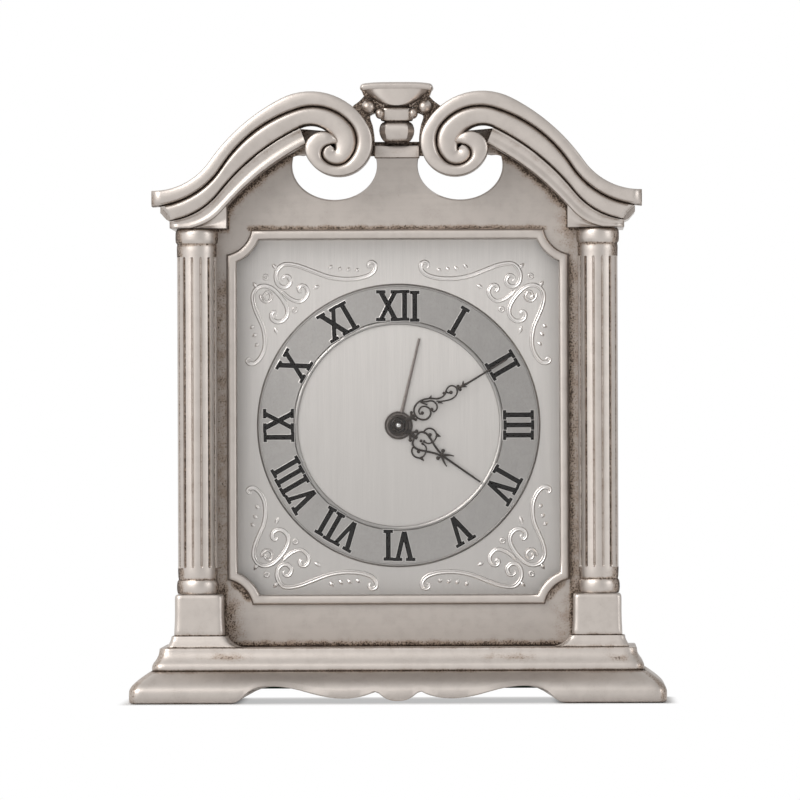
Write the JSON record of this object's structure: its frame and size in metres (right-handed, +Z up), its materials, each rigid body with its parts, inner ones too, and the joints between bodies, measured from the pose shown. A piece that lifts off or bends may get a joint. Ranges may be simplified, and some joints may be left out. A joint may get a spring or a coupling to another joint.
{
  "type": "desk alarm clock",
  "caption": "Desk alarm clock in an architectural silver case with a broken scroll pediment, urn, fluted columns and moulded base, a rectangular dial with a numeral ring and rear winding keys.",
  "frame": {"origin": "floor level under the middle of the bounding box", "axes": "+Z up, +X to the right of someone facing the dial, +Y to the back"},
  "size_m": [0.1208, 0.0656, 0.1397],
  "materials": {
    "case_silver": "silvered, polished on the high parts and oxidised in the recesses",
    "dial_silver": "silvered, brushed",
    "hand_bronze": "dark bronzed",
    "grey_steel": "satin grey",
    "felt": "felt",
    "glass": "clear flat glass",
    "brass": "lacquered",
    "steel": "plain"
  },
  "bodies": {
    "case": {"base_plinth": "case_silver", "base_felt": "felt", "front_frame": "case_silver", "case_shell": "case_silver", "roof_cornice": "case_silver", "back_cover": "case_silver", "left_cover_screw": "steel", "right_cover_screw": "steel", "left_pedestal": "case_silver", "right_pedestal": "case_silver", "left_column": "case_silver", "right_column": "case_silver", "left_scroll": "case_silver", "right_scroll": "case_silver", "urn_finial": "case_silver", "dial_glass": "glass", "glass_frame": "grey_steel", "dial_plate": "dial_silver", "left_dial_screw": "steel", "right_dial_screw": "steel", "chapter_ring": "dial_silver", "front_plate": "brass", "rear_plate": "brass", "plate_pillar_1": "brass", "plate_pillar_2": "brass", "plate_pillar_3": "brass", "plate_pillar_4": "brass", "balance_cock": "brass"},
    "minute_work": {"setting_arbor": "steel", "cannon_pinion": "steel", "minute_hand": "hand_bronze", "hand_nut": "steel", "time_set_knob": "brass"},
    "minute_wheel": {"minute_wheel": "brass"},
    "hour_work": {"hour_wheel": "brass", "hour_hand": "hand_bronze"},
    "alarm_work": {"alarm_wheel": "brass", "alarm_hand": "grey_steel"},
    "alarm_setter": {"alarm_set_arbor": "steel", "alarm_set_knob": "brass"},
    "fourth_wheel": {"fourth_wheel": "brass"},
    "third_wheel": {"third_wheel": "brass"},
    "centre_wheel": {"centre_wheel": "brass"},
    "time_barrel": {"time_barrel": "brass", "time_mainspring": "steel"},
    "escape_wheel": {"escape_wheel": "steel"},
    "pallet_lever": {"pallet_lever": "steel"},
    "balance": {"balance_wheel": "brass", "hairspring": "steel"},
    "time_winding": {"time_winding_arbor": "steel", "time_key": "brass"},
    "alarm_winding": {"alarm_winding_arbor": "steel", "alarm_key": "brass"},
    "time_click": {"time_click": "steel"},
    "alarm_click": {"alarm_click": "steel"},
    "alarm_barrel": {"alarm_barrel": "brass", "alarm_mainspring": "steel"},
    "alarm_escape_wheel": {"alarm_escape_wheel": "brass"},
    "alarm_hammer": {"alarm_hammer": "steel"},
    "alarm_stop_pin": {"alarm_stop_pin": "steel"}
  },
  "joints": [
    {"name": "minute_turn", "type": "hinge", "parent": "case", "child": "minute_work", "pos_m": [0, 0.00013, 0.0623], "axis": [0, 1, 0], "continuous": true},
    {"name": "minute_wheel_turn", "type": "hinge", "parent": "case", "child": "minute_wheel", "pos_m": [-0.0106, 0.00013, 0.05844], "axis": [0, 1, 0], "continuous": true},
    {"name": "hour_turn", "type": "hinge", "parent": "case", "child": "hour_work", "pos_m": [0, -0.00087, 0.0623], "axis": [0, 1, 0], "continuous": true},
    {"name": "alarm_hand_turn", "type": "hinge", "parent": "case", "child": "alarm_work", "pos_m": [0, -0.00187, 0.0623], "axis": [0, 1, 0], "continuous": true},
    {"name": "alarm_set_turn", "type": "hinge", "parent": "case", "child": "alarm_setter", "pos_m": [0.01041, 0.00013, 0.06665], "axis": [0, 1, 0], "continuous": true},
    {"name": "fourth_turn", "type": "hinge", "parent": "case", "child": "fourth_wheel", "pos_m": [-0.00757, 0.00813, 0.07652], "axis": [0, 1, 0], "continuous": true},
    {"name": "third_turn", "type": "hinge", "parent": "case", "child": "third_wheel", "pos_m": [0.00197, 0.00613, 0.07292], "axis": [0, 1, 0], "continuous": true},
    {"name": "centre_turn", "type": "hinge", "parent": "case", "child": "centre_wheel", "pos_m": [0, 0.00513, 0.0623], "axis": [0, 1, 0], "continuous": true},
    {"name": "time_barrel_turn", "type": "hinge", "parent": "case", "child": "time_barrel", "pos_m": [-0.0118, 0.00713, 0.05504], "axis": [0, 1, 0], "continuous": true},
    {"name": "escape_turn", "type": "hinge", "parent": "case", "child": "escape_wheel", "pos_m": [-0.00438, 0.01213, 0.0857], "axis": [0, 1, 0], "continuous": true},
    {"name": "pallet_swing", "type": "hinge", "parent": "case", "child": "pallet_lever", "pos_m": [-0.00977, 0.01263, 0.08603], "axis": [0, 1, 0], "range_deg": [-3, 3]},
    {"name": "balance_swing", "type": "hinge", "parent": "case", "child": "balance", "pos_m": [-0.01602, 0.01513, 0.08393], "axis": [0, 1, 0], "range_deg": [-220, 220]},
    {"name": "time_winding", "type": "hinge", "parent": "case", "child": "time_winding", "pos_m": [-0.0118, 0.01413, 0.05504], "axis": [0, -1, 0], "range_deg": [0, 1800]},
    {"name": "alarm_winding", "type": "hinge", "parent": "case", "child": "alarm_winding", "pos_m": [0.0118, 0.01413, 0.05504], "axis": [0, -1, 0], "range_deg": [0, 1440]},
    {"name": "time_click_lift", "type": "hinge", "parent": "case", "child": "time_click", "pos_m": [-0.0118, 0.01273, 0.06184], "axis": [0, -1, 0], "range_deg": [0, 8]},
    {"name": "alarm_click_lift", "type": "hinge", "parent": "case", "child": "alarm_click", "pos_m": [0.0118, 0.01273, 0.06184], "axis": [0, -1, 0], "range_deg": [0, 8]},
    {"name": "alarm_barrel_turn", "type": "hinge", "parent": "case", "child": "alarm_barrel", "pos_m": [0.0118, 0.00713, 0.05504], "axis": [0, 1, 0], "continuous": true},
    {"name": "alarm_escape_turn", "type": "hinge", "parent": "case", "child": "alarm_escape_wheel", "pos_m": [0.01893, 0.00613, 0.0647], "axis": [0, 1, 0], "continuous": true},
    {"name": "hammer_swing", "type": "hinge", "parent": "case", "child": "alarm_hammer", "pos_m": [0.02453, 0.00713, 0.06473], "axis": [0, 1, 0], "range_deg": [-12, 0]},
    {"name": "alarm_stop_pull", "type": "slide", "parent": "case", "child": "alarm_stop_pin", "axis": [0, 1, 0], "range_m": [0, 0.0025]}
  ],
  "couplings": [
    {"joint": "minute_wheel_turn", "follows": "minute_turn", "ratio": -0.33333},
    {"joint": "hour_turn", "follows": "minute_turn", "ratio": 0.083333},
    {"joint": "alarm_set_turn", "follows": "alarm_hand_turn", "ratio": -3},
    {"joint": "third_turn", "follows": "fourth_turn", "ratio": -0.13333},
    {"joint": "centre_turn", "follows": "fourth_turn", "ratio": 0.016667},
    {"joint": "time_barrel_turn", "follows": "fourth_turn", "ratio": -0.0027778},
    {"joint": "escape_turn", "follows": "fourth_turn", "ratio": -8},
    {"joint": "alarm_escape_turn", "follows": "alarm_barrel_turn", "ratio": -5}
  ]
}
